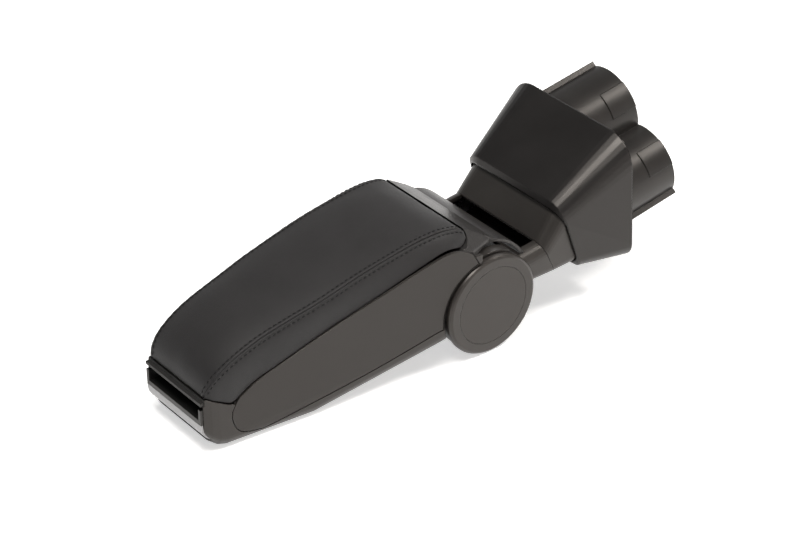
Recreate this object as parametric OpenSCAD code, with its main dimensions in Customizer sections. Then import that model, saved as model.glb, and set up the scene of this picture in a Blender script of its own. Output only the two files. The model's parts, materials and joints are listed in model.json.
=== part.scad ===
// Folding centre armrest with a storage box, laid down in line with its
// console mount. X is the width, -Y is the front of the armrest, +Y is the
// plug that enters the console, and Z is up. All sizes are in millimetres.

/* [Armrest body] */
// Distance from the hub axis to the front face
arm_reach = 267; // [240:1:300]
// Half width of the flanks at the front corner
front_half = 41.8; // [38:0.1:46]
// Half width of the flanks beside the hub
rear_half = 64; // [61:0.1:65]
// Height that the underside climbs towards the hub
belly_rise = 22; // [14:1:26]
// Length of the flat stretch of the underside
belly_flat = 78; // [50:1:100]
// Wall thickness of the lower shell
shell_wall = 3; // [2.6:0.1:3.5]
// Thickness of the shell's round rear wall
rear_wall = 2.6; // [2.2:0.1:3.5]
// Radius of the lower long edges
shell_round = 11; // [6:0.5:14]
// Thickness of the flank panels
panel_t = 1.7; // [1.4:0.1:2]
// Gap round each flank panel
panel_gap = 0.8; // [0.5:0.1:1.5]
// Wall thickness of the storage liner
liner_t = 1.8; // [1.2:0.1:2.5]
// Thickness of the mat in the storage box
mat_t = 2; // [1:0.1:3]

/* [Lid] */
// Thickness of the leather cover
leather_t = 1.4; // [1:0.1:2]
// Height of the lid's crown above its seams
crown = 3; // [1:0.5:6]
// Thickness of the lid's frame plate
frame_t = 3; // [2:0.5:4]
// Radius of the lid's rounded rear nose
nose_r = 7; // [6:0.1:8]
// Radius of the lid hinge pin
lid_pin_r = 2; // [1.5:0.1:2.5]
// Half width of the lip bar at the front
lip_half = 37.4; // [34:0.1:39]

/* [Hub] */
// Radius of the hub discs
hub_r = 45; // [42:0.5:48]
// Half width over the hub discs
disc_x = 68; // [67:0.5:72]
// Thickness of the hub discs
disc_t = 5.6; // [4:0.1:7]
// Bevel on the edge of the hub discs
disc_bevel = 2.6; // [1:0.1:4]
// Radius of the round cap in each disc
cap_r = 34.8; // [28:0.1:38]
// Radius of the steel axle
axle_r = 5; // [4:0.5:6]
// Thickness of each friction washer
washer_t = 2; // [1:0.1:3]
// Thickness of the steel fork
fork_t = 3; // [2:0.5:4]
// Thickness of each yoke cheek
cheek_t = 10.1; // [8:0.1:12]
// Rise of the barrel skin over the hub discs
barrel_rise = 7; // [5.5:0.1:8]

/* [Neck and hood] */
// Inset of the neck's sides from the hub discs
neck_inset = 9; // [7:0.5:12]
// Wall thickness of the collar
collar_t = 4; // [3:0.5:6]
// Half width of the hood at its rim
rim_half = 75; // [70:0.5:80]
// Height of the hood's rim
rim_h = 117; // [110:1:125]
// Distance from the hub axis to the top of the rim
rim_y = 141; // [130:1:150]
// Wall thickness of the hood
hood_t = 2.5; // [2:0.1:3.5]
// Radius of the two plug lobes
lobe_r = 35; // [30:0.5:37]
// Distance between the axes of the two lobes
lobe_pitch = 58; // [50:0.5:62]
// Turn of the line that joins the lobes
lobe_roll = 44.5; // [30:0.5:50]
// Upward tilt of the plug
plug_tilt = 9; // [4:0.5:14]
// Distance from the hub axis to the end of the plug
plug_reach = 209; // [190:1:220]
// Wall thickness of the plug
plug_t = 2.4; // [1.8:0.1:3]
// Width of the plug's seam flanges
flange_w = 4.2; // [2:0.1:6]

/* [Fits] */
// Radial running clearance of pins and axle
run_gap = 0.05; // [0.02:0.01:0.08]
// Clearance between pieces that move past each other
move_gap = 0.4; // [0.3:0.05:0.8]
// Clearance between pieces that are fixed together
seat_gap = 0.2; // [0.1:0.05:0.4]

/* [Hidden] */
$fn = 96;

// Heights and places that follow from the sizes above
hub_z = hub_r;
barrel_half = disc_x - disc_t - cheek_t - 2 * move_gap;
barrel_r = hub_r + barrel_rise;
neck_half = disc_x - neck_inset;
flank_front_y = -(arm_reach - 27);
flank_rear_y = -45;
flank_slope = (rear_half - front_half) / (flank_rear_y - flank_front_y);
flank_angle = atan(flank_slope);
belly_front_y = -(arm_reach - 22);
belly_back_y = belly_front_y + belly_flat;
belly_end_y = -53;
hull_fn = 32;
thin = 0.02;

// Stretches the outline in front of the hub with the reach
drawn_reach = 267;
function fy(y) = y > flank_rear_y ? y : flank_rear_y
    + (y - flank_rear_y) * (arm_reach + flank_rear_y) / (drawn_reach + flank_rear_y);
function stretch(p) = [for (q = p) [fy(q[0]), q[1]]];
function half_w(y) = rear_half + (y - flank_rear_y) * flank_slope;
function floor_z(y) = y < belly_back_y ? 0
    : belly_rise * (y - belly_back_y) / (belly_end_y - belly_back_y);
function at(r, a) = [r * cos(a), hub_z + r * sin(a)];
function arc(r, a0, a1, n = 24) = [for (i = [0:n]) at(r, a0 + (a1 - a0) * i / n)];
function knot(p, i) = p[max(0, min(len(p) - 1, i))];
function bend(a, b, c, d, t) = 0.5 * (2 * b + (c - a) * t
    + (2 * a - 5 * b + 4 * c - d) * t * t + (3 * b - a - 3 * c + d) * t * t * t);
// A smooth open curve through the points
function curve(p, n = 4) = concat([for (i = [0:len(p) - 2], k = [0:n - 1])
    bend(knot(p, i - 1), p[i], p[i + 1], knot(p, i + 2), k / n)], [p[len(p) - 1]]);
function shift(p, d) = [for (q = p) q + d];
function back(p) = [for (i = [len(p) - 1:-1:0]) p[i]];

// Extrudes a Y-Z outline along X
module along_x(x0, x1) {
    translate([x0, 0, 0]) rotate([90, 0, 90]) linear_extrude(x1 - x0) children();
}

module rod_x(r, x0, x1, y, z) {
    translate([x0, y, z]) rotate([0, 90, 0]) cylinder(r = r, h = x1 - x0);
}

module hub_rod(r, x0, x1) {
    rod_x(r, x0, x1, 0, hub_z);
}

module both_sides() {
    children();
    mirror([1, 0, 0]) children();
}

// Thin discs at the corners of a cross section, for use inside hull()
module corner(x, y, z, r) {
    translate([x, y, z]) rotate([-90, 0, 0]) cylinder(r = r, h = thin, $fn = hull_fn);
}

module slice(y, w, z0, z1, low_r, top_r) {
    for (s = [-1, 1]) {
        corner(s * (w - low_r), y, z0 + low_r, low_r);
        corner(s * (w - top_r), y, z1 - top_r, top_r);
    }
}

// Moves everything from the hub axis to the middle of the whole length
module placed() {
    translate([0, (-fascia_y - plug_end_y) / 2, 0]) children();
}

// Parting line between lid and body
panel_top = stretch([[-238.8, 39.5], [-234.4, 44.8], [-220, 53.5], [-202, 60.5], [-149, 79],
    [-99.5, 93.5], [-68, 103.2], [-49, 108.3], [-38, 109], [-30, 107.2], [-21.2, 101.6]]);
panel_low = stretch([[-242.6, 27], [-240, 18], [-233.5, 11.2], [-218, 7.6], [-203, 9.2],
    [-120.7, 23.5], [-52.6, 39]]);
panel_rear_r = hub_r + 3.6;
shell_rear_r = hub_r + 2.5;
lid_rear_y = -29;
front_corner = [[-arm_reach - 8, 54.5], [-arm_reach + 3, 52.6], [-arm_reach + 15, 46],
    [-arm_reach + 22.5, 41.5]];

panel_outline = concat(curve(concat([[fy(-242), 33]], panel_top)),
    arc(panel_rear_r, 108.5, 186.5, 20), back(curve(panel_low)));

// Region above the parting line, raised by g
function above(g) = concat(shift(front_corner, [0, g]),
    shift(curve([for (q = panel_top) if (q[0] < -25) q]), [0, g]),
    [[lid_rear_y - 1, 106.4 + g], [lid_rear_y, 104 + g], [lid_rear_y, 160], [-arm_reach - 8, 160]]);

// LOWER SHELL OF THE ARMREST
body_top = 109;
frame_seat_z = 98.5;

module body_hull(inset) {
    hull() {
        slice(-arm_reach + 0.2 + inset, 35 - inset, 26 + inset, 52, 4, 4);
        slice(-arm_reach + 2 + inset, 37.6 - inset, 17 + inset, 54, 7, 4);
        slice(-arm_reach + 8 + inset / 2, 39.8 - inset, 8 + inset, 56, 10, 4);
        slice(-arm_reach + 15, 41 - inset, 2 + inset, 58, shell_round, 4);
        slice(belly_front_y, front_half - inset, inset, 60, shell_round, 4);
        slice(belly_back_y, half_w(belly_back_y) - inset, inset, 90, shell_round, 4);
        slice(belly_end_y, half_w(belly_end_y) - inset, floor_z(belly_end_y) + inset,
            body_top + 4, shell_round, 4);
        slice(-12, half_w(-12) - 0.4 - inset, floor_z(-12) + 0.8 + inset, body_top + 4,
            shell_round, 4);
    }
}

module flank(depth, grow) {
    translate([rear_half, flank_rear_y, 0]) rotate([0, 0, -flank_angle])
        translate([0, -flank_rear_y, 0]) along_x(-depth, 3) offset(delta = grow)
            polygon(panel_outline);
}

window_half = lip_half - 0.3;
window_low = 11;

module bottom_shell() {
    color([0.13, 0.125, 0.12]) difference() {
        body_hull(0);
        difference() {
            body_hull(shell_wall);
            hub_rod(shell_rear_r + rear_wall, -disc_x, disc_x);
        }
        along_x(-disc_x - 1, disc_x + 1) polygon(above(-0.4));
        along_x(-disc_x, disc_x) polygon([[lid_rear_y - 4.6, frame_seat_z - seat_gap],
            [lid_rear_y - 4.6, 140], [5, 140], [5, frame_seat_z - seat_gap]]);
        hub_rod(shell_rear_r, -disc_x - 1, disc_x + 1);
        both_sides() flank(panel_t, panel_gap);
        translate([-window_half, -arm_reach - 1, window_low])
            cube([2 * window_half, 19, 60]);
        translate([-lip_half - move_gap, -arm_reach - 1, 45.8])
            cube([2 * (lip_half + move_gap), 12, 20]);
        frame_spots() {
            cylinder(r = screw_r + 0.1, h = 30);
            translate([0, 0, -10]) cylinder(r = 3.7, h = 11.5);
        }
        core_holes(screw_r + 0.3);
    }
}

module side_panel() {
    difference() {
        intersection() {
            flank(panel_t - seat_gap, 0);
            body_hull(0.1);
        }
        hub_rod(panel_rear_r, -disc_x, disc_x + 1);
    }
}

module side_panel_right() {
    color([0.16, 0.15, 0.145]) side_panel();
}

module side_panel_left() {
    color([0.16, 0.15, 0.145]) mirror([1, 0, 0]) side_panel();
}

// REAR FRAME WITH THE BARREL SKIN
hinge_y = -24.5;
hinge_z = 112.5;
lip_angle = 29;
skin_t = 2.5;
trough_r = nose_r + 0.8;
knuckle_half = 30;
knuckle_end = 46;
knuckle_r = 4;
frame_top = curve([[-18.4, 116.8], [-8, 110.6], [3, 103.2], at(barrel_r, 74)]);

module frame_hull(inset) {
    hull() {
        slice(-34, 60.5 - inset, 92, 111, 3, 3);
        slice(-30, 53 - inset, 92, 121, 3, 8);
        slice(-17, 62 - inset, 88, 104, 3, 6);
        slice(-17, 51.5 - inset, 90, 118, 3, 8);
        slice(7, barrel_half + 1 - inset, 90, 101, 3, 4);
    }
}

module knuckle_spans() {
    for (s = [-1, 1]) translate([s * (knuckle_end + knuckle_half + move_gap) / 2, 0, 0]) children();
}

module rear_frame() {
    outer = concat(frame_top, arc(barrel_r, 72, lip_angle),
        arc(barrel_r - skin_t, lip_angle, 84),
        arc(shell_rear_r + rear_wall + seat_gap, 90, 112, 8), [[-24, frame_seat_z],
        [-33, frame_seat_z], [-33, 101.5], [-28.8, 103.2], [-18.4, 110]]);
    span = knuckle_end - knuckle_half - move_gap;
    color([0.17, 0.165, 0.16]) difference() {
        union() {
            intersection() {
                along_x(-disc_x, disc_x) polygon(outer);
                union() {
                    frame_hull(0);
                    translate([-barrel_half, 3, 20]) cube([2 * barrel_half, 60, 100]);
                }
            }
            knuckle_spans() {
                rod_x(knuckle_r, -span / 2, span / 2, hinge_y, hinge_z);
                translate([-span / 2, hinge_y - knuckle_r, 101]) cube([span, 2 * knuckle_r, hinge_z - 101]);
            }
        }
        difference() {
            rod_x(trough_r, -disc_x, disc_x, hinge_y, hinge_z);
            knuckle_spans() translate([-span / 2, hinge_y - knuckle_r - 0.01, 100])
                cube([span, 2 * knuckle_r + 0.02, hinge_z - 100 + knuckle_r + 1]);
        }
        along_x(-barrel_half + skin_t, barrel_half - skin_t) polygon([[-12, 90], [-12, 109.3],
            [-8.5, 107.4], [1.5, 100.6], [6, 97.4], [6, 90]]);
        rod_x(lid_pin_r + run_gap, -50, 50, hinge_y, hinge_z);
        frame_spots() cylinder(r = screw_r + 0.05, h = 10.5);
    }
}

frame_screw_z = 88.4;

module frame_spots() {
    for (x = [-36, 0, 36]) translate([x, -16, frame_screw_z]) children();
}

module frame_screws() {
    color("silver") frame_spots() {
        cylinder(r = screw_r, h = 10);
        cylinder(r = 3.5, h = 1.2);
    }
}

// STORAGE LINER AND MAT
liner_front_y = fy(-240);
liner_back_y = -58;

module liner_hull(inset) {
    gap = shell_wall + 0.6 + inset;
    hull() {
        slice(liner_front_y + inset, half_w(liner_front_y) - gap - 2, gap + 1, 60, 10, 3);
        slice(belly_back_y, half_w(belly_back_y) - gap, gap, 100, 10, 3);
        slice(liner_back_y - inset, half_w(liner_back_y) - gap, floor_z(liner_back_y) + gap,
            130, 10, 3);
    }
}

module storage_liner() {
    rim = stretch([[-242, 38.4], [-236, 39], [-220, 49.6], [-202, 57.5], [-149, 76],
        [-99.5, 90.5], [-68, 100], [-60, 102], [-50, 102]]);
    color([0.1, 0.1, 0.1]) difference() {
        liner_hull(0);
        liner_hull(liner_t);
        along_x(-disc_x, disc_x) polygon(concat(rim, [[fy(-50), 160], [fy(-250), 160]]));
    }
}

module bin_mat() {
    color([0.08, 0.08, 0.08]) intersection() {
        liner_hull(liner_t + 0.15);
        along_x(-disc_x, disc_x) polygon([for (y = [fy(-236), belly_back_y, -100, -66])
            [y, floor_z(y) + shell_wall + 0.6 + liner_t + mat_t],
            [-66, 0], [fy(-236), 0]]);
    }
}

// FRONT FASCIA AND BARE TRIM STRIP
fascia_y = -arm_reach - 0.5;
fascia_half = window_half - seat_gap;
trim_curve = curve([[fascia_y, 28.2], [fascia_y + 1, 21.5], [fascia_y + 3.4, 16.6],
    [fascia_y + 7.5, 12.6]]);
recess_floor = 32.5;
recess_back_y = -arm_reach + 17;

fascia_wall_z = 42.6;

module front_fascia() {
    color([0.05, 0.05, 0.05]) difference() {
        along_x(-fascia_half, fascia_half) polygon(concat(
            [[recess_back_y + 3, fascia_wall_z], [fascia_y, fascia_wall_z], [fascia_y, 28.4]],
            shift(trim_curve, [1.9, 0.2]),
            [[fascia_y + 10.2, window_low + seat_gap], [recess_back_y + 3, window_low + seat_gap]]));
        along_x(-fascia_half + 3, fascia_half - 3) polygon([[fascia_y - 1, recess_floor],
            [recess_back_y - 2, recess_floor + 0.8], [recess_back_y, 50], [fascia_y - 1, 50]]);
        along_x(-fascia_half + 3, fascia_half - 3) polygon([[fascia_y + 5, 30], [fascia_y + 6.6, 20],
            [fascia_y + 10.5, 14.5], [recess_back_y + 4, 14.5], [recess_back_y + 4, 30]]);
        translate([-9, recess_back_y - 1, 34.4]) cube([18, 6, 5]);
    }
}

module front_trim() {
    color([0.75, 0.75, 0.76]) along_x(-fascia_half, fascia_half)
        polygon(concat(trim_curve, back(shift(trim_curve, [1.7, 0]))));
}

// HINGE CORE THAT TURNS ON THE AXLE
core_half = barrel_half - washer_t - seat_gap + move_gap;
core_r = 14;
screw_r = 2;

module core_spots() {
    for (x = [-28, 28], z = [-9, 9]) translate([x, 0, hub_z + z]) children();
}

module core_holes(r) {
    core_spots() translate([0, -65, 0]) rotate([-90, 0, 0]) cylinder(r = r, h = 25);
}

module hinge_core() {
    web_r = shell_rear_r - 0.3;
    color([0.45, 0.46, 0.48]) difference() {
        union() {
            hub_rod(core_r, -core_half, core_half);
            for (x = [-core_half, -15, 9, core_half - 6]) along_x(x, x + 6)
                polygon(concat([at(core_r - 1, 80), at(core_r - 1, 280)], back(arc(44, 158, 202, 8))));
            along_x(-core_half, core_half) polygon(concat(arc(web_r, 157, 203, 12),
                arc(web_r - 4, 203, 157, 12)));
        }
        hub_rod(axle_r + run_gap, -core_half - 1, core_half + 1);
        core_holes(screw_r + 0.1);
    }
}

module screw_y(r, head_r, length, head) {
    rotate([-90, 0, 0]) union() {
        cylinder(r = r, h = length);
        translate([0, 0, -head]) cylinder(r = head_r, h = head + thin);
    }
}

module core_screws() {
    color("silver") core_spots() translate([0, -54.6, 0]) screw_y(screw_r, 3.8, 14, 2);
}

// LID
seam_z = [[-262, 60], [-255, 69.5], [-244, 77.5], [-236, 81.5], [-217, 88.5], [-190, 95.8],
    [-157, 103.6], [-113, 113.2], [-70, 119.6], [-45, 121], [-32, 120], [-24.5, 117.6]];

module lid_slice(y, low_w, low_z, top_w, top_z, top_r, inset) {
    for (s = [-1, 1]) {
        corner(s * (low_w - inset - 2), y, low_z + 2, 2);
        corner(s * (top_w - inset - top_r), y, top_z - inset - top_r, top_r);
        corner(s * top_w * 0.45, y, top_z + crown * 0.8 - inset - 1, 1);
    }
    corner(0, y, top_z + crown - inset - 1, 1);
}

module lid_hull(inset) {
    hull() {
        lid_slice(-arm_reach + 3.3 + inset, 36.5, 44, 34.5, 58, 4, inset);
        lid_slice(-arm_reach + 5.5 + inset, 38, 40, 36.5, 63, 5, inset);
        lid_slice(-arm_reach + 12 + inset / 2, 40, 36, 38.5, 71.5, 7, inset);
        lid_slice(fy(-244) + inset / 3, 41, 34, 40.3, 79.5, 8, inset);
        lid_slice(fy(-217), 44.2, 30, 43.2, 91, 9, inset);
        lid_slice(fy(-157), 51, 60, 48.5, 105.6, 11, inset);
        lid_slice(fy(-113), 56, 76, 52, 115, 12, inset);
        lid_slice(fy(-70), 60.8, 92, 55, 121.6, 13, inset);
        lid_slice(-42, 63, 100, 57, 122.8, 13, inset);
        lid_slice(-30 - inset, 62, 101, 56.5, 121.2, 12, inset);
        lid_slice(hinge_y - inset * 0.4, 56, 108, 55.5, hinge_z + nose_r - crown * 0.5, 7, inset);
    }
}

module lid_solid(inset, gap) {
    intersection() {
        lid_hull(inset);
        union() {
            along_x(-disc_x, disc_x) polygon(above(gap));
            rod_x(nose_r - inset, -50, 50, hinge_y, hinge_z);
            along_x(-50, 50) polygon([[lid_rear_y - 1, 104 + gap + 2], [hinge_y, hinge_z - 2],
                [hinge_y, hinge_z + nose_r - inset], [lid_rear_y - 1, 130]]);
        }
    }
}

module leather_cover() {
    color([0.12, 0.12, 0.125]) difference() {
        lid_solid(0, 0.5);
        lid_solid(leather_t, -5);
        translate([-disc_x, lid_rear_y - 2.5, 90]) cube([2 * disc_x, 20, hinge_z - 90]);
        rod_x(knuckle_r + move_gap, -disc_x, disc_x, hinge_y, hinge_z);
        knuckle_room();
    }
}

module knuckle_room() {
    for (s = [-1, 1]) translate([s > 0 ? knuckle_half - 0.6 : -47, hinge_y - 5.2, 98])
        cube([47 - knuckle_half + 0.6, 20, 18.6]);
    rod_x(lid_pin_r + run_gap, -50, 50, hinge_y, hinge_z);
}

module lid_foam() {
    color([0.75, 0.7, 0.5]) difference() {
        lid_solid(leather_t + 0.3, 0.5 + frame_t + 0.3);
        knuckle_room();
        rod_x(4.6, -47, 47, hinge_y, hinge_z);
        along_x(-disc_x, disc_x) polygon([[-34, 90], [-34, 114], [-20, 118], [0, 118], [0, 90]]);
    }
}

module lid_frame() {
    color([0.08, 0.08, 0.08]) difference() {
        union() {
            difference() {
                lid_solid(leather_t + 0.3, 0.5);
                along_x(-disc_x, disc_x) polygon(above(0.5 + frame_t));
                along_x(-disc_x, disc_x) polygon([[-31, 90], [-31, 130], [0, 130], [0, 90]]);
            }
            along_x(-lip_half, lip_half) polygon([[-arm_reach - 0.4, 46.6], [-arm_reach - 0.4, 49.2],
                [-arm_reach + 2.4, 49.6], [-arm_reach + 2.4, 51.8], [-arm_reach + 9, 49],
                [-arm_reach + 9, 47.6], [-arm_reach + 2.6, 46.6]]);
            along_x(-33, 33) polygon([[-arm_reach + 5.6, 49], [-arm_reach + 5.6, 52.8],
                [-arm_reach + 9, 52.8], [-arm_reach + 9, 47.6]]);
            rod_x(knuckle_r, -knuckle_half, knuckle_half, hinge_y, hinge_z);
            along_x(-knuckle_half, knuckle_half) polygon([[-34, 108.6], [-34, 112.4],
                [hinge_y, hinge_z + knuckle_r - 0.5], [hinge_y, hinge_z - knuckle_r + 0.5]]);
            for (s = [-1, 1]) translate([s * (latch_half + 2.2) - 1.6, latch_y - 2.6, latch_z - 2.6])
                cube([3.2, 5.2, 8]);
        }
        catch_spots() translate([-3.6, -1.8, 1.4]) cube([7.2, 3.6, 2]);
        rod_x(lid_pin_r + run_gap, -50, 50, hinge_y, hinge_z);
        rod_x(latch_pin_r + run_gap, -30, 30, latch_y, latch_z);
    }
}

module lid_hinge_pin() {
    color("silver") rod_x(lid_pin_r, -knuckle_end, knuckle_end, hinge_y, hinge_z);
}

module catch_spots() {
    for (x = [-29, 29]) translate([x, recess_back_y + 1.4, fascia_wall_z]) children();
}

module catch_magnets() {
    color([0.3, 0.3, 0.32]) catch_spots() translate([0, 0, 0.05]) cylinder(r = 1.3, h = 0.95);
}

module catch_plates() {
    color("silver") catch_spots() translate([-3.5, -1.7, 1.45]) cube([7, 3.4, 1.2]);
}

// LATCH
latch_y = recess_back_y - 5.5;
latch_z = 43.8;
latch_half = 20;
latch_pin_r = 1.2;
latch_low = 35;

module latch_paddle() {
    color([0.04, 0.04, 0.04]) difference() {
        union() {
            rod_x(2.3, -latch_half, latch_half, latch_y, latch_z);
            along_x(-latch_half, latch_half) polygon([[latch_y - 2, latch_z], [latch_y - 2.4, latch_low],
                [latch_y - 0.6, latch_low], [latch_y + 1.4, latch_z]]);
            for (x = [-latch_half, latch_half - 6]) translate([x, latch_y, latch_z - 0.3])
                cube([6, 6.5, 1.1]);
        }
        rod_x(latch_pin_r + run_gap, -latch_half - 1, latch_half + 1, latch_y, latch_z);
        translate([-5, latch_y - 4, latch_z - 2.2]) cube([10, 9, 6]);
    }
}

module latch_pin() {
    color("silver") rod_x(latch_pin_r, -latch_half - 3.6, latch_half + 3.6, latch_y, latch_z);
}

coil_r = 1.7;
coil_wire = 0.25;
coil_turns = 6;

// Points of one ring of the wire at turn angle a
function wire_ring(a, x) = [for (k = [0:7])
    let (r = coil_r + coil_wire * cos(k * 45))
    [x + coil_wire * sin(k * 45), latch_y + r * cos(a), latch_z + r * sin(a)]];

module latch_spring() {
    steps = coil_turns * 16;
    rings = [for (i = [0:steps]) wire_ring(i * 22.5, -4 + 8 * i / steps)];
    color("silver") polyhedron(points = [for (r = rings, q = r) q], faces = concat(
        [[for (k = [7:-1:0]) k]],
        [for (i = [0:steps - 1], k = [0:7])
            [i * 8 + k, i * 8 + (k + 1) % 8, (i + 1) * 8 + (k + 1) % 8, (i + 1) * 8 + k]],
        [[for (k = [0:7]) steps * 8 + k]]));
}

// STEEL FORK AND AXLE
fork_x = core_half + 0.2 + washer_t;
fork_eye = 17;
plate_inset = 7;
plate_s = rim_y - plate_inset - plug_reach;
plate_t = 4;

module mount_frame() {
    translate([0, plug_reach, plug_axis_z]) rotate([plug_tilt, 0, 0]) children();
}

module fork_spots() {
    mount_frame() for (x = [-34, 34], z = [-20, -6]) translate([x, 0, z]) children();
}

module fork_arm(grow, x0, x1) {
    along_x(x0, x1) offset(delta = grow) polygon(concat(arc(fork_eye, 75, 285),
        [[44, 46.5], [62, 47.5], [100, 55], [rim_y - 3, plug_axis_z - 41],
        [rim_y - 3, plug_axis_z - 14], [104, 78], [64, 60], [40, 60]]));
}

module steel_fork() {
    color([0.5, 0.5, 0.52]) difference() {
        union() {
            both_sides() fork_arm(0, fork_x, fork_x + fork_t);
            mount_frame() translate([-fork_x - fork_t, plate_s - fork_t - seat_gap, -27])
                cube([2 * (fork_x + fork_t), fork_t, 28]);
        }
        hub_rod(axle_r + run_gap, -disc_x, disc_x);
        mount_frame() translate([-90, plate_s - seat_gap, -120]) cube([180, 100, 200]);
        fork_spots() translate([0, plate_s - 10, 0]) rotate([-90, 0, 0]) cylinder(r = 3.2, h = 20);
    }
}

module axle() {
    color("silver") union() {
        hub_rod(axle_r, -disc_x + disc_t - 2.6, cheek_x1 + 0.5);
        hub_rod(9, cheek_x1 + 0.1, cheek_x1 + 3);
    }
}

module axle_nut() {
    color("silver") difference() {
        rod_x(8.5, -cheek_x1 - 3, -cheek_x1 - 0.1, 0, hub_z, $fn = 6);
        hub_rod(axle_r + run_gap, -disc_x, 0);
    }
}

module washer(s) {
    color([0.3, 0.2, 0.12]) difference() {
        hub_rod(13, s > 0 ? core_half + 0.2 : -fork_x, s > 0 ? fork_x : -core_half - 0.2);
        hub_rod(axle_r + run_gap, -disc_x, disc_x);
    }
}

module friction_washer_left() {
    washer(-1);
}

module friction_washer_right() {
    washer(1);
}

// YOKE HALVES, SHIELD AND COLLAR
cheek_r = hub_r - 1.5;
shoulder_r = shell_rear_r - move_gap - 0.1;
cheek_x0 = barrel_half + move_gap;
cheek_x1 = disc_x - disc_t - move_gap;
seam_top = [61, 73];
seam_low = [75.5, 41];
hood_top = [77, 97];
hood_low = [99, 41.5];
slot_half = 46.5;
yoke_wall = 4;

// A thin rounded plate in a tilted plane, from its top and low points
module plate_at(top, low, half, r_top, r_low, push = 0, inset = 0) {
    tilt = atan2(low[0] - top[0], top[1] - low[1]);
    h = norm(top - low);
    translate([0, low[0], low[1]]) rotate([tilt, 0, 0]) translate([0, push, 0]) for (s = [-1, 1]) {
        corner(s * (half - r_low), 0, r_low, r_low - inset);
        corner(s * (half - r_top), 0, h - r_top, r_top - inset);
    }
}

module neck_hull(inset, push) {
    hull() {
        plate_at([32, 70], [36, 41], neck_half, 13, 8, -push, inset);
        plate_at(seam_top, seam_low, neck_half, 13, 8, push, inset);
    }
}

module yoke_half() {
    difference() {
        union() {
            hub_rod(cheek_r, cheek_x0, cheek_x1);
            along_x(cheek_x0, cheek_x1 - 0.6)
                polygon(concat(arc(shoulder_r, 62, 150), arc(cheek_r - 2, 150, 62)));
            intersection() {
                neck_hull(0, 0);
                translate([0.1, 0, 0]) cube(200);
            }
        }
        difference() {
            neck_hull(yoke_wall, 2);
            hub_rod(cheek_r, cheek_x0, cheek_x1);
        }
        hub_rod(barrel_r + move_gap + 0.4, -1, cheek_x0);
        fork_arm(0.4, cheek_x0 - 1, fork_x + fork_t + seat_gap);
        translate([-1, 20, 60]) cube([slot_half + 1, 50, 30]);
        hub_rod(axle_r + 0.3, -disc_x, disc_x);
    }
}

module yoke_right() {
    color([0.14, 0.13, 0.125]) yoke_half();
}

module yoke_left() {
    color([0.14, 0.13, 0.125]) mirror([1, 0, 0]) yoke_half();
}

shield_t = 1.4;
shield_half = barrel_half - 0.5;

module hub_shield() {
    r0 = cheek_r + seat_gap;
    color([0.05, 0.05, 0.05]) difference() {
        union() {
            along_x(-shield_half, shield_half)
                polygon(concat(arc(r0 + shield_t, 3, 60), arc(r0, 60, 3)));
            along_x(-cheek_x1 + 3, cheek_x1 - 3)
                polygon(concat(arc(r0 + shield_t, 34, 60, 8), arc(r0, 60, 34, 8)));
        }
        hub_rod(r0, -disc_x, disc_x);
    }
}

module collar_hull(inset, push) {
    hull() {
        plate_at(seam_top + [0.4, 0], seam_low + [0.4, 0], neck_half, 13, 8, -push, inset);
        plate_at(hood_top + [4, 1], hood_low + [4, 0], neck_half, 16, 9, push, inset);
    }
}

module collar() {
    color([0.15, 0.14, 0.135]) difference() {
        collar_hull(0, 0);
        collar_hull(collar_t, 1);
    }
}

// HUB DISCS AND CAPS
module disc_shape() {
    translate([disc_x - disc_t, 0, hub_z]) rotate([0, 90, 0]) difference() {
        rotate_extrude() polygon([[0, 0], [hub_r, 0], [hub_r, disc_t - disc_bevel],
            [hub_r - 0.9, disc_t - 0.9], [hub_r - disc_bevel, disc_t], [cap_r + 0.3, disc_t],
            [cap_r + 0.3, disc_t - 1.8], [0, disc_t - 1.8]]);
        translate([0, 0, -1]) cylinder(r = 11, h = disc_t + 2);
    }
}

module cap_shape() {
    translate([disc_x - 1.6, 0, hub_z]) rotate([0, 90, 0]) cylinder(r = cap_r, h = 1.6);
}

module hub_disc_right() {
    color([0.15, 0.14, 0.135]) disc_shape();
}

module hub_disc_left() {
    color([0.15, 0.14, 0.135]) mirror([1, 0, 0]) disc_shape();
}

module hub_cap_right() {
    color([0.17, 0.16, 0.155]) cap_shape();
}

module hub_cap_left() {
    color([0.17, 0.16, 0.155]) mirror([1, 0, 0]) cap_shape();
}

// HOOD OVER THE CONSOLE OPENING
rim_top_z = 150.5;
rim_low_z = rim_top_z - rim_h;
rim_lean = 7;
mouth_gap = 1.2;

module hood_hull(inset, push) {
    hull() {
        plate_at(hood_top + [-1, 1], hood_low + [0, -3], neck_half - 3, 14, 9, push, inset);
        plate_at(hood_top + [1, 7], hood_low + [4, -6], neck_half + 3, 18, 11, push, inset);
        plate_at([rim_y, rim_top_z], [rim_y + rim_lean, rim_low_z], rim_half, 27, 16,
            push > 0 ? 1 : 0, inset);
    }
}

// The bosses stand against the hood's side walls at the carrier plate
boss_r = 5.5;
boss_z = 16;
plate_share = 0.84;
boss_x = (neck_half + 3) * (1 - plate_share) + rim_half * plate_share - hood_t - boss_r + 0.8;

module hood_bosses(r, s0, s1) {
    mount_frame() for (s = [-1, 1]) translate([s * boss_x, s0, boss_z])
        rotate([-90, 0, 0]) cylinder(r = r, h = s1 - s0, $fn = hull_fn);
}

module hood() {
    color([0.13, 0.12, 0.115]) difference() {
        union() {
            difference() {
                hood_hull(0, 0);
                hood_hull(hood_t, hood_t);
            }
            intersection() {
                hood_hull(hood_t / 2, hood_t / 2);
                hood_bosses(boss_r, plate_s + plate_t + seat_gap, plate_s + plate_t + 12);
            }
        }
        hull() for (d = [-12, 10]) plate_at(hood_top, hood_low, neck_half, 16, 9, d, -mouth_gap);
        hood_bosses(1.6, plate_s, plate_s + plate_t + 10);
    }
}

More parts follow.
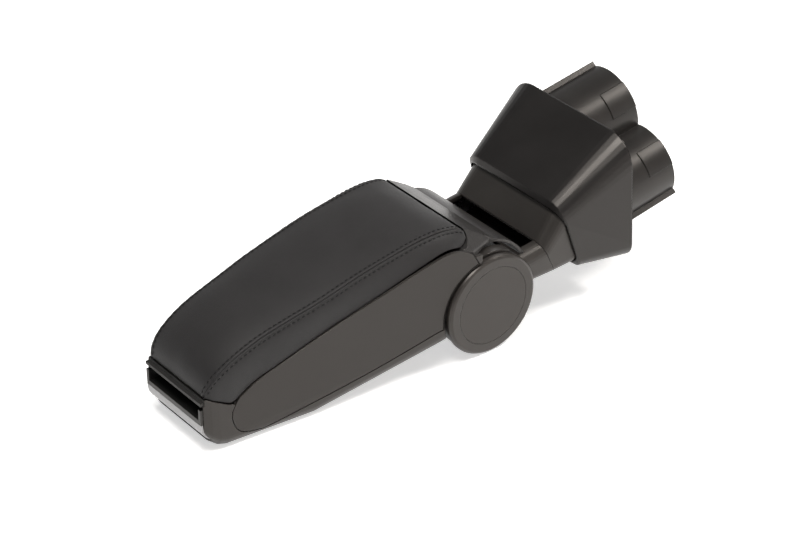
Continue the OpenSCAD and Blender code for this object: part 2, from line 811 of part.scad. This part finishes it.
// CARRIER PLATE THAT JOINS FORK, HOOD AND PLUG
module carrier_plate() {
    color([0.09, 0.09, 0.09]) difference() {
        intersection() {
            hood_hull(hood_t + 0.3, hood_t);
            mount_frame() translate([-90, plate_s, -120]) cube([180, plate_t, 200]);
        }
        fork_spots() translate([0, plate_s - 10, 0]) rotate([-90, 0, 0]) cylinder(r = 3.2, h = 20);
        plug_spots() translate([0, plate_s - 1, 0]) rotate([-90, 0, 0]) cylinder(r = 2.2, h = 9);
        hood_bosses(1.8, plate_s - 1, plate_s + plate_t + 1);
    }
}

module fork_bolts() {
    color("silver") fork_spots() translate([0, plate_s - fork_t - seat_gap - 0.05, 0])
        screw_y(3, 5.5, fork_t + plate_t, 4);
}

module hood_screws() {
    color("silver") mount_frame() for (s = [-1, 1])
        translate([s * boss_x, plate_s - 0.05, boss_z]) screw_y(1.55, 3.2, 11, 1.8);
}

// TWIN LOBED PLUG
plug_axis_z = rim_top_z - 47.5;
plug_step_s = plate_s + 15.5;
plug_step = 8;
plug_front_s = plate_s + plate_t + seat_gap;
seam_offset = 10.7;
pad_h = 0.8;
pad_length = 26;
pad_turn = 64;
pad_angle = 39;
key_half = 5;
key_z = sqrt(lobe_r * lobe_r - pow(lobe_pitch / 2 - key_half, 2)) + 1;
plug_end_y = plug_reach + (lobe_pitch / 2 * sin(lobe_roll) + lobe_r) * sin(plug_tilt);

module plug_frame() {
    translate([0, plug_reach, plug_axis_z]) rotate([plug_tilt, 0, 0]) rotate([0, lobe_roll, 0])
        children();
}

module lobes(r, s0, s1) {
    for (s = [-1, 1]) translate([s * lobe_pitch / 2, s0, 0]) rotate([-90, 0, 0])
        cylinder(r = r, h = s1 - s0);
    fill_h = r * 0.55;
    translate([-lobe_pitch / 2, s0, -fill_h]) cube([lobe_pitch, s1 - s0, 2 * fill_h]);
}

// A shallow raised pad on each lobe, towards the end of the plug
module lobe_pads() {
    for (s = [-1, 1]) translate([s * lobe_pitch / 2, 0, 0]) rotate([90, 0, 0]) rotate(pad_turn)
        rotate_extrude(angle = pad_angle) translate([lobe_r - 1, 0]) square([1 + pad_h, pad_length]);
}

module plug_spots() {
    mount_frame() for (s = [-1, 1]) translate([s * 26, 0, -s * 38]) children();
}

module plug_body() {
    tip = lobe_pitch / 2 + sqrt(lobe_r * lobe_r - seam_offset * seam_offset) + flange_w;
    difference() {
        union() {
            lobes(lobe_r, plug_step_s, 0);
            lobes(lobe_r - plug_step, plug_front_s, plug_step_s + 1);
            translate([-tip, plug_step_s, seam_offset - 1.4]) cube([2 * tip, -plug_step_s, 2.8]);
            lobe_pads();
            translate([-key_half, plug_step_s, lobe_r * 0.53])
                cube([2 * key_half, 8, key_z - lobe_r * 0.53]);
        }
        lobes(lobe_r - plug_t, plug_step_s + plug_t, -plug_t);
        lobes(lobe_r - plug_step - plug_t, plug_front_s + plug_t, plug_step_s + plug_t + 1);
    }
}

module plug_holes() {
    plug_spots() translate([0, plate_s, 0]) rotate([-90, 0, 0]) cylinder(r = 2.05, h = 12);
}

module plug_upper() {
    color([0.12, 0.115, 0.11]) difference() {
        plug_frame() difference() {
            plug_body();
            translate([-100, -200, seam_offset - 100]) cube([200, 400, 100]);
        }
        plug_holes();
    }
}

module plug_lower() {
    color([0.12, 0.115, 0.11]) difference() {
        plug_frame() difference() {
            plug_body();
            translate([-100, -200, seam_offset - 0.1]) cube([200, 400, 100]);
        }
        plug_holes();
    }
}

module plug_screws() {
    color("silver") plug_spots() translate([0, plate_s - 0.05, 0]) screw_y(2, 4, plate_t + 4, 1.8);
}

placed() bottom_shell();
placed() side_panel_left();
placed() side_panel_right();
placed() rear_frame();
placed() storage_liner();
placed() bin_mat();
placed() front_fascia();
placed() front_trim();
placed() hinge_core();
placed() core_screws();
placed() frame_screws();
placed() lid_hinge_pin();
placed() lid_frame();
placed() lid_foam();
placed() leather_cover();
placed() catch_magnets();
placed() catch_plates();
placed() latch_paddle();
placed() latch_pin();
placed() latch_spring();
placed() steel_fork();
placed() axle();
placed() axle_nut();
placed() friction_washer_left();
placed() friction_washer_right();
placed() yoke_left();
placed() yoke_right();
placed() hub_shield();
placed() hub_disc_left();
placed() hub_disc_right();
placed() hub_cap_left();
placed() hub_cap_right();
placed() collar();
placed() hood();
placed() carrier_plate();
placed() fork_bolts();
placed() hood_screws();
placed() plug_upper();
placed() plug_lower();
placed() plug_screws();
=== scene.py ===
import json
import math

import bpy
import numpy as np
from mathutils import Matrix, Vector


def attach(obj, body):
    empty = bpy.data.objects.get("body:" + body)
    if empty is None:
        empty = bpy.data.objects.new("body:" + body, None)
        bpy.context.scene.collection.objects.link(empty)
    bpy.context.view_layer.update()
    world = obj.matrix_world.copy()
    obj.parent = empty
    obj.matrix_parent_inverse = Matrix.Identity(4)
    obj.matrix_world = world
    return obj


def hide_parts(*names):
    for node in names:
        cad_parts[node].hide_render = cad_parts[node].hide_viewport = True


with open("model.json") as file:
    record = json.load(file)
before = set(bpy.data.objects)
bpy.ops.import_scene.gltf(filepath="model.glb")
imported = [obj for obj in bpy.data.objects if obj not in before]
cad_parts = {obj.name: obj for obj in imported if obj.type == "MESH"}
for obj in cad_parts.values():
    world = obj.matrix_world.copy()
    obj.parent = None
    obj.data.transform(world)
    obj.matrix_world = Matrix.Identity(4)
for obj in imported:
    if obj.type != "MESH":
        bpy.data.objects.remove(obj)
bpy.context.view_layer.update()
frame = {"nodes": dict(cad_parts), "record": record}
nodes = frame["nodes"]
MM = 0.001

# The CAD parts are built round the hub axis and then moved along Y by this much
hub_shift = 24.9225
# Camera angles in degrees, as fitted to the photograph
camera_azimuth = 51.351
camera_elevation = 32.775


# MATERIALS
def new_material(name):
    """An empty node material and its tree"""
    mat = bpy.data.materials.new(name)
    mat.use_nodes = True
    mat.node_tree.nodes.clear()
    return mat, mat.node_tree


def add(tree, kind, **values):
    """Adds a node and sets its options or the inputs of those names"""
    node = tree.nodes.new(kind)
    for key, value in values.items():
        if hasattr(node, key) and key not in node.inputs:
            setattr(node, key, value)
        else:
            node.inputs[key.replace("_", " ")].default_value = value
    return node


def noise(tree, coords, scale, detail=2.0, rough=0.5):
    node = add(tree, "ShaderNodeTexNoise", Scale=scale, Detail=detail, Roughness=rough)
    tree.links.new(coords, node.inputs["Vector"])
    return node.outputs["Fac"]


def ramp(tree, fac, a, b, low_value, high_value):
    """Maps a..b to low_value..high_value"""
    node = add(tree, "ShaderNodeMapRange")
    node.inputs["From Min"].default_value = a
    node.inputs["From Max"].default_value = b
    node.inputs["To Min"].default_value = low_value
    node.inputs["To Max"].default_value = high_value
    tree.links.new(fac, node.inputs["Value"])
    return node.outputs["Result"]


def mix_color(tree, fac, a, b):
    node = add(tree, "ShaderNodeMix", data_type="RGBA")
    node.inputs[6].default_value = (*a, 1)
    node.inputs[7].default_value = (*b, 1)
    tree.links.new(fac, node.inputs[0])
    return node.outputs[2]


def plastic(name, color, rough, grain=0.25, grain_scale=2600.0, spread=0.12, edge=0.5, scuffs=0.0,
            depth=0.06):
    """Moulded plastic with a fine grain, soft edges and a slightly uneven sheen"""
    mat, tree = new_material(name)
    coords = add(tree, "ShaderNodeTexCoord").outputs["Object"]
    broad = noise(tree, coords, 18.0, 3.0, 0.6)
    fine = noise(tree, coords, grain_scale, 1.0, 0.4)
    dark = tuple(c * 0.86 for c in color)
    pale = tuple(min(1.0, c * 1.14) for c in color)
    shader = add(tree, "ShaderNodeBsdfPrincipled")
    shader.inputs["Specular IOR Level"].default_value = 0.4
    shader.inputs["Specular Tint"].default_value = (1.0, 0.94, 0.89, 1.0)
    tree.links.new(mix_color(tree, broad, dark, pale), shader.inputs["Base Color"])
    soft = add(tree, "ShaderNodeBevel", samples=4, Radius=edge * MM)
    # The mould leaves the rounded edges smoother than the faces
    turn = add(tree, "ShaderNodeVectorMath", operation="DOT_PRODUCT")
    tree.links.new(soft.outputs["Normal"], turn.inputs[0])
    tree.links.new(add(tree, "ShaderNodeNewGeometry").outputs["Normal"], turn.inputs[1])
    sheen = add(tree, "ShaderNodeMath", operation="MULTIPLY")
    tree.links.new(ramp(tree, broad, 0.3, 0.7, rough - spread / 2, rough + spread / 2), sheen.inputs[0])
    tree.links.new(ramp(tree, turn.outputs["Value"], 0.75, 0.99, 0.5, 1.0), sheen.inputs[1])
    tree.links.new(sheen.outputs["Value"], shader.inputs["Roughness"])
    bump = add(tree, "ShaderNodeBump", Strength=grain, Distance=depth * MM)
    tree.links.new(fine, bump.inputs["Height"])
    tree.links.new(soft.outputs["Normal"], bump.inputs["Normal"])
    normal = bump.outputs["Normal"]
    if scuffs:
        waves = noise(tree, coords, 16.0, 2.0, 0.4)
        wide = add(tree, "ShaderNodeBump", Strength=scuffs, Distance=0.002)
        tree.links.new(waves, wide.inputs["Height"])
        tree.links.new(normal, wide.inputs["Normal"])
        normal = wide.outputs["Normal"]
    tree.links.new(normal, shader.inputs["Normal"])
    out = add(tree, "ShaderNodeOutputMaterial")
    tree.links.new(shader.outputs["BSDF"], out.inputs["Surface"])
    return mat


def metal(name, color, rough):
    """Bare metal with a slightly uneven polish"""
    mat, tree = new_material(name)
    coords = add(tree, "ShaderNodeTexCoord").outputs["Object"]
    shader = add(tree, "ShaderNodeBsdfPrincipled", Metallic=1.0)
    shader.inputs["Base Color"].default_value = (*color, 1)
    spots = noise(tree, coords, 160.0, 4.0)
    tree.links.new(ramp(tree, spots, 0.3, 0.7, rough - 0.08, rough + 0.08), shader.inputs["Roughness"])
    bump = add(tree, "ShaderNodeBump", Strength=0.15, Distance=0.0001)
    tree.links.new(noise(tree, coords, 900.0), bump.inputs["Height"])
    tree.links.new(bump.outputs["Normal"], shader.inputs["Normal"])
    out = add(tree, "ShaderNodeOutputMaterial")
    tree.links.new(shader.outputs["BSDF"], out.inputs["Surface"])
    return mat


def leather(name, color, rough, pebble=0.35):
    """Pebbled leather: small cells with soft valleys and a faint variation in tone"""
    mat, tree = new_material(name)
    coords = add(tree, "ShaderNodeTexCoord").outputs["Object"]
    bend = add(tree, "ShaderNodeTexNoise", Scale=260.0, Detail=1.0)
    tree.links.new(coords, bend.inputs["Vector"])
    shifted = add(tree, "ShaderNodeVectorMath", operation="SCALE")
    shifted.inputs["Scale"].default_value = 0.0016
    tree.links.new(bend.outputs["Color"], shifted.inputs[0])
    moved = add(tree, "ShaderNodeVectorMath", operation="ADD")
    tree.links.new(coords, moved.inputs[0])
    tree.links.new(shifted.outputs["Vector"], moved.inputs[1])
    cells = add(tree, "ShaderNodeTexVoronoi", feature="DISTANCE_TO_EDGE", Scale=950.0)
    tree.links.new(moved.outputs["Vector"], cells.inputs["Vector"])
    height = ramp(tree, cells.outputs["Distance"], 0.0, 0.22, 0.0, 1.0)
    broad = noise(tree, coords, 30.0, 3.0)
    shader = add(tree, "ShaderNodeBsdfPrincipled")
    shader.inputs["Specular IOR Level"].default_value = 0.25
    tree.links.new(mix_color(tree, broad, tuple(c * 0.9 for c in color), tuple(c * 1.12 for c in color)),
                   shader.inputs["Base Color"])
    tree.links.new(ramp(tree, broad, 0.3, 0.7, rough - 0.05, rough + 0.05), shader.inputs["Roughness"])
    bump = add(tree, "ShaderNodeBump", Strength=pebble, Distance=0.00012)
    tree.links.new(height, bump.inputs["Height"])
    creases = add(tree, "ShaderNodeBump", Strength=0.12, Distance=0.0012)
    tree.links.new(noise(tree, coords, 45.0, 3.0), creases.inputs["Height"])
    tree.links.new(creases.outputs["Normal"], bump.inputs["Normal"])
    tree.links.new(bump.outputs["Normal"], shader.inputs["Normal"])
    shader.inputs["Sheen Weight"].default_value = 0.06
    out = add(tree, "ShaderNodeOutputMaterial")
    tree.links.new(shader.outputs["BSDF"], out.inputs["Surface"])
    return mat


looks = {
    "shell_plastic": plastic("shell_plastic", (0.019, 0.017, 0.0158), 0.34, 0.3, spread=0.08, edge=0.8),
    "panel_plastic": plastic("panel_plastic", (0.017, 0.0150, 0.0138), 0.46, 0.4, spread=0.06, edge=0.8),
    "frame_plastic": plastic("frame_plastic", (0.021, 0.020, 0.020), 0.36, 0.9, 900.0, 0.08, depth=0.2),
    "liner_plastic": plastic("liner_plastic", (0.012, 0.012, 0.012), 0.6, 0.3),
    "mat_rubber": plastic("mat_rubber", (0.010, 0.010, 0.010), 0.8, 0.5, 1500.0),
    "front_plastic": plastic("front_plastic", (0.010, 0.010, 0.010), 0.38, 0.1),
    "silver_trim": plastic("silver_trim", (0.4, 0.4, 0.41), 0.34, 0.05),
    "cast_alloy": metal("cast_alloy", (0.52, 0.53, 0.55), 0.5),
    "steel": metal("steel", (0.58, 0.58, 0.6), 0.32),
    "magnet": metal("magnet", (0.4, 0.4, 0.42), 0.3),
    "lid_foam": plastic("lid_foam", (0.62, 0.55, 0.33), 0.95, 0.6, 1200.0),
    "leather": leather("leather", (0.0168, 0.0158, 0.0162), 0.55),
    "friction_lining": plastic("friction_lining", (0.12, 0.08, 0.05), 0.85, 0.4),
    "neck_plastic": plastic("neck_plastic", (0.022, 0.020, 0.0185), 0.36, 0.15, spread=0.1, edge=0.7),
    "disc_plastic": plastic("disc_plastic", (0.023, 0.0202, 0.0185), 0.34, 0.25, spread=0.06, edge=0.8),
    "cap_plastic": plastic("cap_plastic", (0.026, 0.023, 0.021), 0.46, 0.4, spread=0.05, edge=0.3),
    "hood_plastic": plastic("hood_plastic", (0.0105, 0.0098, 0.0098), 0.36, 0.12, spread=0.08, edge=1.8,
                            scuffs=0.1),
    "plug_plastic": plastic("plug_plastic", (0.0145, 0.0135, 0.013), 0.34, 0.12, spread=0.1, edge=1.0,
                            scuffs=0.1),
}
slot_of = {part["node"]: part["material_slot"] for part in frame["record"]["subparts"]}
for name, obj in nodes.items():
    obj.data.materials.clear()
    obj.data.materials.append(looks[slot_of[name]])
    obj.data.shade_smooth()
    obj.data.set_sharp_from_angle(angle=math.radians(32 if name in ("hood", "collar") else 24))


# LEATHER LID COVER
leather_t = 1.3
# The double seam: its groove and the rows of stitches on either side
groove_depth = 1.3
groove_r = 0.5
stitch_offset = 3.3
# How strongly the columns crowd at the seam
crowding = 1.8
crown_power = 2.6
bulge_most = 3.6
bulge_share = 0.1
fold_rate = 6.0
wave_height = 0.10
pucker_pitch = 8.2
soften_passes = 6


def to_scene(points):
    """From millimetres round the hub to metres in the scene"""
    return [p * MM + np.array([0, hub_shift * MM, 0]) for p in points]


def mesh_object(name, verts, faces, material):
    data = bpy.data.meshes.new(name)
    data.from_pydata([tuple(v) for v in verts], [], faces)
    data.update()
    data.shade_smooth()
    obj = bpy.data.objects.new(name, data)
    bpy.context.scene.collection.objects.link(obj)
    data.materials.append(material)
    return obj


def along(points, n):
    """Evenly spaced points on a smooth curve through the given ones"""
    pts = np.array(points, float)
    dense = []
    for i in range(len(pts) - 1):
        p0, p1 = pts[max(i - 1, 0)], pts[i]
        p2, p3 = pts[i + 1], pts[min(i + 2, len(pts) - 1)]
        for t in np.linspace(0, 1, 40, endpoint=False):
            dense.append(0.5 * (2 * p1 + (p2 - p0) * t + (2 * p0 - 5 * p1 + 4 * p2 - p3) * t * t
                                + (3 * p1 - p0 - 3 * p2 + p3) * t ** 3))
    dense.append(pts[-1])
    dense = np.array(dense)
    run = np.concatenate([[0], np.cumsum(np.linalg.norm(np.diff(dense, axis=0), axis=1))])
    spots = np.linspace(0, run[-1], n)
    return np.stack([np.interp(spots, run, dense[:, k]) for k in range(pts.shape[1])], axis=1), run[-1]


# Crown line of the lid from the front edge to the nose over the hinge, as Y and Z
crown_line = [(-263.6, 53.4), (-262.6, 60.5), (-259.0, 68.0), (-252.0, 75.8), (-243.0, 82.3),
              (-231.0, 88.6), (-213.0, 95.4), (-188.0, 101.6), (-157.0, 108.6), (-113.0, 118.0),
              (-70.0, 124.4), (-46.0, 125.4), (-35.0, 123.6), (-29.0, 121.6), (-24.4, 119.8), (-21.2, 118.2),
              (-19.1, 115.6)]
# Seam line: half width, Y and Z
seam_line = [(36.0, -263.4, 53.4), (37.8, -261.6, 60.0), (39.2, -257.0, 66.8), (40.3, -250.0, 72.8),
             (41.2, -240.0, 78.8), (41.9, -228.0, 84.4), (42.6, -212.0, 89.9), (44.4, -188.0, 96.1),
             (46.8, -157.0, 103.4), (47.8, -113.0, 113.6), (48.2, -70.0, 120.3), (48.6, -46.0, 121.8),
             (49.2, -35.0, 121.1), (49.6, -29.0, 120.2), (49.8, -24.4, 119.2), (49.9, -21.2, 118.0),
             (50.0, -19.1, 115.5)]
# Lower edge of the cover's flanks: half width, Y and Z
edge_line = [(36.2, -263.4, 53.3), (38.6, -260.6, 51.6), (40.0, -255.0, 48.4), (40.8, -248.0, 44.6),
             (41.6, -241.0, 41.4), (42.2, -233.0, 46.6), (43.4, -220.0, 54.6), (45.6, -202.0, 61.3),
             (50.9, -149.0, 79.5), (52.1, -136.0, 82.9), (53.2, -123.0, 86.8), (55.4, -99.5, 94.1),
             (58.0, -68.0, 103.8), (59.0, -49.0, 108.9), (58.8, -38.0, 109.2), (58.4, -32.0, 107.6),
             (57.8, -28.0, 106.3), (56.8, -24.5, 106.0), (55.6, -21.4, 106.7), (54.4, -19.2, 108.4),
             (53.6, -18.2, 110.2)]

rows = 150
cols_top, cols_side = 46, 40
crown_pts, _ = along(crown_line, rows)
seam_pts, seam_run = along(seam_line, rows)
edge_pts, _ = along(edge_line, rows)


def section(i):
    """One cross-section from the middle of the lid over the seam to the lower edge"""
    mid = np.array([0.0, *crown_pts[i]])
    seam, edge = seam_pts[i], edge_pts[i]
    fold = np.clip((i / rows) * fold_rate, 0.0, 1.0)
    t = 1 - (1 - np.linspace(0, 1, cols_top)) ** crowding
    rise = (mid - seam)[1:]
    top = np.zeros((cols_top, 3))
    top[:, 0] = seam[0] * t
    drop = np.clip(1 - t ** crown_power, 0, 1)
    top[:, 1] = seam[1] + rise[0] * drop
    top[:, 2] = seam[2] + rise[1] * drop
    s = np.linspace(0, 1, cols_side) ** crowding
    chord = edge - seam
    # The flank leaves the seam outwards and then turns down to its edge
    bulge = min(bulge_most, bulge_share * np.linalg.norm(chord)) * fold
    lean = np.array([0.86, 0.0, 0.5])
    side = seam + chord * s[:, None] + lean * (bulge * 4 * s * (1 - s) ** 1.5)[:, None]
    return np.vstack([top, side[1:]])


half = np.array([section(i) for i in range(rows)])
count = half.shape[1]


def soften(grid, passes):
    """Evens out the grid along and across the lid, and its border only along itself"""
    out = grid.copy()
    for _ in range(passes):
        inner = out.copy()
        inner[1:-1] = 0.25 * out[:-2] + 0.5 * out[1:-1] + 0.25 * out[2:]
        out = inner.copy()
        out[:, 1:-1] = 0.25 * inner[:, :-2] + 0.5 * inner[:, 1:-1] + 0.25 * inner[:, 2:]
        out[:, 0] = inner[:, 0] * 0.5 + inner[:, 1] * 0.5
        out[:, 0, 0] = 0
    return out


half = soften(half, soften_passes)
left = half[:, ::-1].copy()
left[:, :, 0] *= -1
grid = np.concatenate([left[:, :-1], half], axis=1)
seam_col = count - 1 + cols_top - 1


def normals(g):
    """Unit normals of the grid's points"""
    du = np.gradient(g, axis=0)
    dv = np.gradient(g, axis=1)
    n = np.cross(dv, du)
    return -n / np.maximum(np.linalg.norm(n, axis=2, keepdims=True), 1e-9)


nrm = normals(grid)
if nrm[rows // 2, count - 1, 2] < 0:
    nrm = -nrm

# Distance of each column from the seams, measured along the surface
step = np.linalg.norm(np.diff(grid, axis=1), axis=2)
run = np.concatenate([np.zeros((rows, 1)), np.cumsum(step, axis=1)], axis=1)
from_right = np.abs(run - run[:, seam_col:seam_col + 1])
from_left = np.abs(run - run[:, 2 * (count - 1) - seam_col:2 * (count - 1) - seam_col + 1])
near = np.minimum(from_right, from_left)
groove = -groove_depth * np.exp(-(near / groove_r) ** 2) + 0.4 * np.exp(-((near - 1.7) / 1.3) ** 2)
groove -= 0.06 * np.exp(-((near - stitch_offset) / groove_r) ** 2)

# Slow folds and puckers from the stretched leather
place = grid * MM
wave = np.sin(place[:, :, 1] * 95 + 4 * np.sin(place[:, :, 0] * 60)) * wave_height
turns = np.cumsum(np.ones((rows, 1)), axis=0) * 2 * math.pi * seam_run / rows / pucker_pitch
pucker = wave_height * np.sin(turns) * np.exp(-(near / 6.0) ** 2)
skin = grid + nrm * (groove + wave + pucker)[:, :, None]

wide = skin.shape[1]
inner = skin - nrm * leather_t
verts = to_scene(skin.reshape(-1, 3)) + to_scene(inner.reshape(-1, 3))
faces = []
base = rows * wide
for i in range(rows - 1):
    for j in range(wide - 1):
        a, b = i * wide + j, i * wide + j + 1
        c, d = (i + 1) * wide + j + 1, (i + 1) * wide + j
        faces.append((a, b, c, d))
        faces.append((base + d, base + c, base + b, base + a))
for i in range(rows - 1):
    a, d = i * wide, (i + 1) * wide
    faces.append((a, d, base + d, base + a))
    a, d = i * wide + wide - 1, (i + 1) * wide + wide - 1
    faces.append((d, a, base + a, base + d))
for j in range(wide - 1):
    faces.append((j + 1, j, base + j, base + j + 1))
    a = (rows - 1) * wide + j
    faces.append((a, a + 1, base + a + 1, base + a))
cover = mesh_object("lid_cover", verts, faces, looks["leather"])
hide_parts("leather_cover")
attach(cover, "lid")

# STITCHES
stitch_pitch = 4.6
stitch_length = 2.8
thread_r = 0.5
stitch_points = 6
thread = leather("seam_thread", (0.003, 0.003, 0.0032), 0.7, 0.2)


def capsule(points, radius, sides=6):
    """A short thread along the points, as rings of vertices with closed ends"""
    pts = np.array(points)
    ahead = np.gradient(pts, axis=0)
    ahead /= np.linalg.norm(ahead, axis=1, keepdims=True)
    side = np.cross(ahead, np.array([0.0, 0.0, 1.0]))
    side /= np.maximum(np.linalg.norm(side, axis=1, keepdims=True), 1e-9)
    up = np.cross(side, ahead)
    swell = np.sin(np.linspace(0.12, 0.88, len(pts)) * math.pi) ** 0.4
    rings = []
    for p, s, u, w in zip(pts, side, up, swell):
        for k in range(sides):
            a = 2 * math.pi * k / sides
            rings.append(p + (s * math.cos(a) + u * math.sin(a)) * radius * w)
    faces_here = []
    for i in range(len(pts) - 1):
        for k in range(sides):
            a, b = i * sides + k, i * sides + (k + 1) % sides
            faces_here.append((a, b, b + sides, a + sides))
    faces_here.append(tuple(range(sides - 1, -1, -1)))
    last = (len(pts) - 1) * sides
    faces_here.append(tuple(range(last, last + sides)))
    return rings, faces_here


def stitch_rows():
    """Two rows of stitches along each seam, left out where a row leaves the cover"""
    verts_all, faces_all = [], []
    for side in (1, -1):
        for offset in (-stitch_offset, stitch_offset):
            target = run[:, seam_col] + offset
            line, lift = [], []
            for i in range(rows):
                if target[i] > run[i, -1] - 0.8:
                    continue
                j = min(max(np.searchsorted(run[i], target[i]), 1), wide - 1)
                f = (target[i] - run[i, j - 1]) / max(run[i, j] - run[i, j - 1], 1e-9)
                line.append(skin[i, j - 1] * (1 - f) + skin[i, j] * f)
                lift.append(nrm[i, j])
            line, lift = np.array(line), np.array(lift)
            dist = np.concatenate([[0], np.cumsum(np.linalg.norm(np.diff(line, axis=0), axis=1))])
            at = 2.5
            while at + stitch_length < dist[-1] - 1.0:
                spots = np.linspace(at, at + stitch_length, stitch_points)
                pts = np.stack([np.interp(spots, dist, line[:, k]) for k in range(3)], axis=1)
                up = np.stack([np.interp(spots, dist, lift[:, k]) for k in range(3)], axis=1)
                arch = np.sin(np.linspace(0, math.pi, stitch_points)) * 0.3
                pts = pts + up * (arch + 0.02)[:, None]
                pts[:, 0] *= side
                ring, quads = capsule(pts, thread_r)
                start = len(verts_all)
                verts_all += to_scene(ring)
                faces_all += [tuple(start + q for q in f) for f in quads]
                at += stitch_pitch
    return verts_all, faces_all


stitch_verts, stitch_faces = stitch_rows()
stitches = mesh_object("seam_stitches", stitch_verts, stitch_faces, thread)
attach(stitches, "lid")


# FLOOR, LIGHTS AND CAMERA
def seen_rays(tree):
    """1 for camera, glossy and transmission rays, 0 for the others"""
    path = add(tree, "ShaderNodeLightPath")
    seen = add(tree, "ShaderNodeMath", operation="MAXIMUM")
    tree.links.new(path.outputs["Is Camera Ray"], seen.inputs[0])
    tree.links.new(path.outputs["Is Glossy Ray"], seen.inputs[1])
    through = add(tree, "ShaderNodeMath", operation="MAXIMUM")
    tree.links.new(seen.outputs[0], through.inputs[0])
    tree.links.new(path.outputs["Is Transmission Ray"], through.inputs[1])
    return through.outputs[0]


def floor_material():
    """Pale floor that reads as white round the object and keeps its shadow"""
    mat, tree = new_material("studio_floor")
    reach = add(tree, "ShaderNodeVectorMath", operation="LENGTH")
    tree.links.new(add(tree, "ShaderNodeTexCoord").outputs["Object"], reach.inputs[0])
    glow = add(tree, "ShaderNodeMath", operation="MULTIPLY")
    tree.links.new(seen_rays(tree), glow.inputs[0])
    tree.links.new(ramp(tree, reach.outputs["Value"], 0.7, 3.0, floor_glow, 0.92), glow.inputs[1])
    light = add(tree, "ShaderNodeEmission")
    light.inputs["Color"].default_value = (1, 1, 1, 1)
    tree.links.new(glow.outputs[0], light.inputs["Strength"])
    paint = add(tree, "ShaderNodeBsdfDiffuse")
    paint.inputs["Color"].default_value = (0.82, 0.82, 0.82, 1)
    both = add(tree, "ShaderNodeAddShader")
    tree.links.new(paint.outputs["BSDF"], both.inputs[0])
    tree.links.new(light.outputs["Emission"], both.inputs[1])
    out = add(tree, "ShaderNodeOutputMaterial")
    tree.links.new(both.outputs["Shader"], out.inputs["Surface"])
    return mat


floor_glow = 0.55
floor_half = 12
floor_mesh = bpy.data.meshes.new("studio_floor")
corners = [(-floor_half, -floor_half, 0), (floor_half, -floor_half, 0), (floor_half, floor_half, 0),
           (-floor_half, floor_half, 0)]
floor_mesh.from_pydata(corners, [], [(0, 1, 2, 3)])
floor = bpy.data.objects.new("studio_floor", floor_mesh)
bpy.context.scene.collection.objects.link(floor)
floor_mesh.materials.append(floor_material())
floor.location.z = -0.0002

world = bpy.data.worlds.new("studio")
world.use_nodes = True
bpy.context.scene.world = world
wt = world.node_tree
wt.nodes.clear()
back = wt.nodes.new("ShaderNodeBackground")
back.inputs["Color"].default_value = (1, 1, 1, 1)
# The studio's walls are bright near the floor and its ceiling is dark
where = wt.nodes.new("ShaderNodeTexCoord")
parts = wt.nodes.new("ShaderNodeSeparateXYZ")
wt.links.new(where.outputs["Generated"], parts.inputs["Vector"])
fade = wt.nodes.new("ShaderNodeMapRange")
fade.interpolation_type = "SMOOTHSTEP"
fade.inputs["From Min"].default_value = 0.02
fade.inputs["From Max"].default_value = 0.5
wt.links.new(ramp(wt, seen_rays(wt), 0, 1, 0.5, 0.97), fade.inputs["To Min"])
fade.inputs["To Max"].default_value = 0.12
wt.links.new(parts.outputs["Z"], fade.inputs["Value"])
wt.links.new(fade.outputs["Result"], back.inputs["Strength"])
out = wt.nodes.new("ShaderNodeOutputWorld")
wt.links.new(back.outputs["Background"], out.inputs["Surface"])


def area(name, place, target, size, power, tint):
    """A rectangular lamp at a place, turned to its target"""
    lamp = bpy.data.lights.new(name, "AREA")
    lamp.color = tint
    lamp.shape = "RECTANGLE"
    lamp.size, lamp.size_y = size
    lamp.energy = power
    obj = bpy.data.objects.new(name, lamp)
    bpy.context.scene.collection.objects.link(obj)
    obj.location = place
    obj.rotation_euler = (Vector(target) - Vector(place)).to_track_quat("-Z", "Y").to_euler()


area("key_light", (0.3, -0.45, 1.6), (0, 0, 0.06), (0.7, 0.7), 27, (1.0, 0.98, 0.95))
area("side_light", (1.5, 0.35, 0.7), (0, 0.03, 0.05), (0.9, 0.7), 3, (1.0, 0.88, 0.8))
area("back_light", (-0.7, 1.4, 0.9), (0, 0.05, 0.08), (1.0, 0.5), 3, (1.0, 1.0, 1.0))
area("rear_light", (0.55, 1.1, 1.25), (0, 0.1, 0.1), (0.4, 0.3), 17, (1.0, 0.97, 0.93))

azimuth, elevation = math.radians(camera_azimuth), math.radians(camera_elevation)
camera_data = bpy.data.cameras.new("camera")
camera_data.lens = 112.5
camera_data.sensor_width = 36
camera_data.clip_start = 0.05
camera = bpy.data.objects.new("camera", camera_data)
bpy.context.scene.collection.objects.link(camera)
camera.location = (1.33985, (-1113.99 + hub_shift) * MM, 1.1695)
camera.rotation_euler = (math.pi / 2 - elevation, 0, azimuth)
bpy.context.scene.camera = camera
bpy.context.scene.view_settings.view_transform = "Standard"
